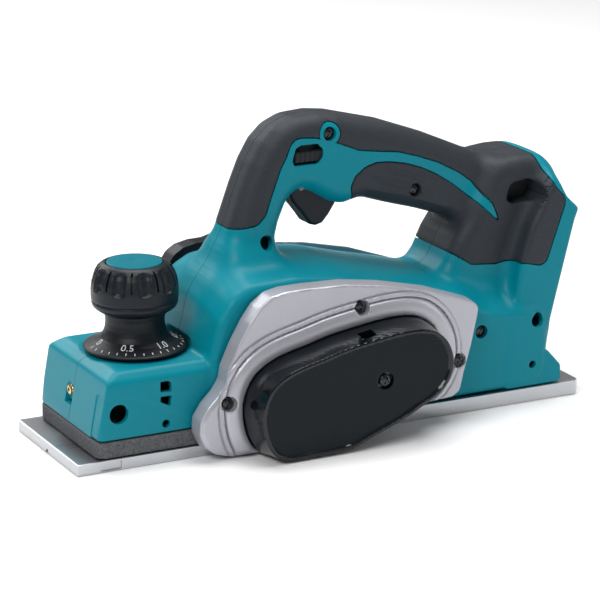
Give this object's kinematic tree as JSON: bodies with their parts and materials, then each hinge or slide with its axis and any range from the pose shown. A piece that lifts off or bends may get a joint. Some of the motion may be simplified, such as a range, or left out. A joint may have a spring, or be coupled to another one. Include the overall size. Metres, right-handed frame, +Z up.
{
  "type": "electric hand planer",
  "caption": "Cordless hand planer: two-part sole, side belt drive, cutter drum, depth knob, loop handle with trigger, open battery seat and a side chip duct.",
  "frame": {"origin": "centre of the rear base's sole face", "axes": "-X towards the nose, +X towards the battery seat, -Y towards the belt side, +Z up; the sole lies at z = 0"},
  "size_m": [0.3135, 0.1592, 0.174],
  "materials": {
    "teal_plastic": "fine spark-eroded moulding texture, satin",
    "grip_rubber": "matte stippled overmould",
    "silver_paint": "silver enamel on die casting",
    "gloss_black": "gloss moulding with a satin face",
    "black_plastic": "satin moulding",
    "aluminium": "machined sole, cast sides",
    "foam": "open speckled foam",
    "steel": "turned steel",
    "blade_steel": "ground carbide edge",
    "dark_steel": "black oxide",
    "belt_rubber": "ribbed belt",
    "copper": "lacquered windings on a steel core",
    "brass": "plain brass",
    "lead_insulation": "smooth insulation"
  },
  "bodies": {
    "root": {"rear_base": "aluminium", "foam_seal": "foam", "housing_left": "teal_plastic", "housing_right": "teal_plastic", "grip_skin_left": "grip_rubber", "grip_skin_right": "grip_rubber", "side_frame": "silver_paint", "right_cover": "silver_paint", "belt_cover": "gloss_black", "chip_chute": "black_plastic", "chip_duct": "black_plastic", "switch_body": "black_plastic", "controller": "black_plastic", "terminal_block": "black_plastic", "brush_plate": "black_plastic", "drum_bearing_left": "steel", "drum_bearing_right": "steel", "motor_can": "steel", "motor_bearing_left": "steel", "motor_bearing_right": "steel", "base_spring": "steel", "trigger_pin": "steel", "foot_pin": "steel", "belt_cover_screw": "dark_steel", "side_frame_screw_front": "dark_steel", "side_frame_screw_top": "dark_steel", "side_frame_screw_rear": "dark_steel", "housing_screw_rear": "dark_steel", "housing_screw_grip": "dark_steel", "housing_screw_front": "dark_steel", "drive_belt": "belt_rubber", "brass_insert": "brass", "contact_1": "brass", "contact_2": "brass", "contact_3": "brass", "battery_lead": "lead_insulation", "motor_lead": "lead_insulation"},
    "front_base": {"front_base": "aluminium"},
    "knob": {"depth_dial": "black_plastic", "knob_grip": "grip_rubber", "knob_cap": "teal_plastic", "depth_screw": "steel"},
    "drum": {"cutter_drum": "steel", "blade_1": "blade_steel", "blade_2": "blade_steel", "blade_clamp_1": "steel", "blade_clamp_2": "steel", "clamp_bolt_1": "dark_steel", "clamp_bolt_2": "dark_steel", "clamp_bolt_3": "dark_steel", "clamp_bolt_4": "dark_steel", "clamp_bolt_5": "dark_steel", "clamp_bolt_6": "dark_steel", "drum_pulley": "steel"},
    "rotor": {"rotor": "copper", "fan": "black_plastic", "motor_pulley": "steel"},
    "trigger": {"trigger": "grip_rubber"},
    "lock_button": {"lock_button": "black_plastic"},
    "rest_foot": {"rest_foot": "black_plastic"}
  },
  "joints": [
    {"name": "knob_turn", "type": "hinge", "parent": "root", "child": "knob", "pos_m": [-0.1686, 0, 0.08], "axis": [0, 0, -1], "range_deg": [0, 216]},
    {"name": "base_lift", "type": "slide", "parent": "root", "child": "front_base", "axis": [0, 0, 1], "range_m": [0, 0.002], "deforming": ["foam_seal", "base_spring"]},
    {"name": "drum_spin", "type": "hinge", "parent": "root", "child": "drum", "pos_m": [-0.1085, 0, 0.027], "axis": [0, 1, 0], "continuous": true},
    {"name": "rotor_spin", "type": "hinge", "parent": "root", "child": "rotor", "pos_m": [-0.032, 0, 0.044], "axis": [0, 1, 0], "continuous": true},
    {"name": "trigger_pull", "type": "hinge", "parent": "root", "child": "trigger", "pos_m": [-0.0735, 0, 0.134], "axis": [0, -1, 0], "range_deg": [0, 10], "stiffness_Nm_per_rad": 0.8, "springref_deg": -5.73},
    {"name": "lock_press", "type": "slide", "parent": "root", "child": "lock_button", "axis": [0, 1, 0], "range_m": [-0.003, 0.003], "stiffness_N_per_m": 600},
    {"name": "foot_swing", "type": "hinge", "parent": "root", "child": "rest_foot", "pos_m": [0.07, -0.024, 0.0044], "axis": [0, -1, 0], "range_deg": [0, 30]}
  ],
  "couplings": [
    {"joint": "knob_turn", "follows": "base_lift", "rad_per_m": 1885},
    {"joint": "rotor_spin", "follows": "drum_spin", "ratio": 1.5}
  ]
}
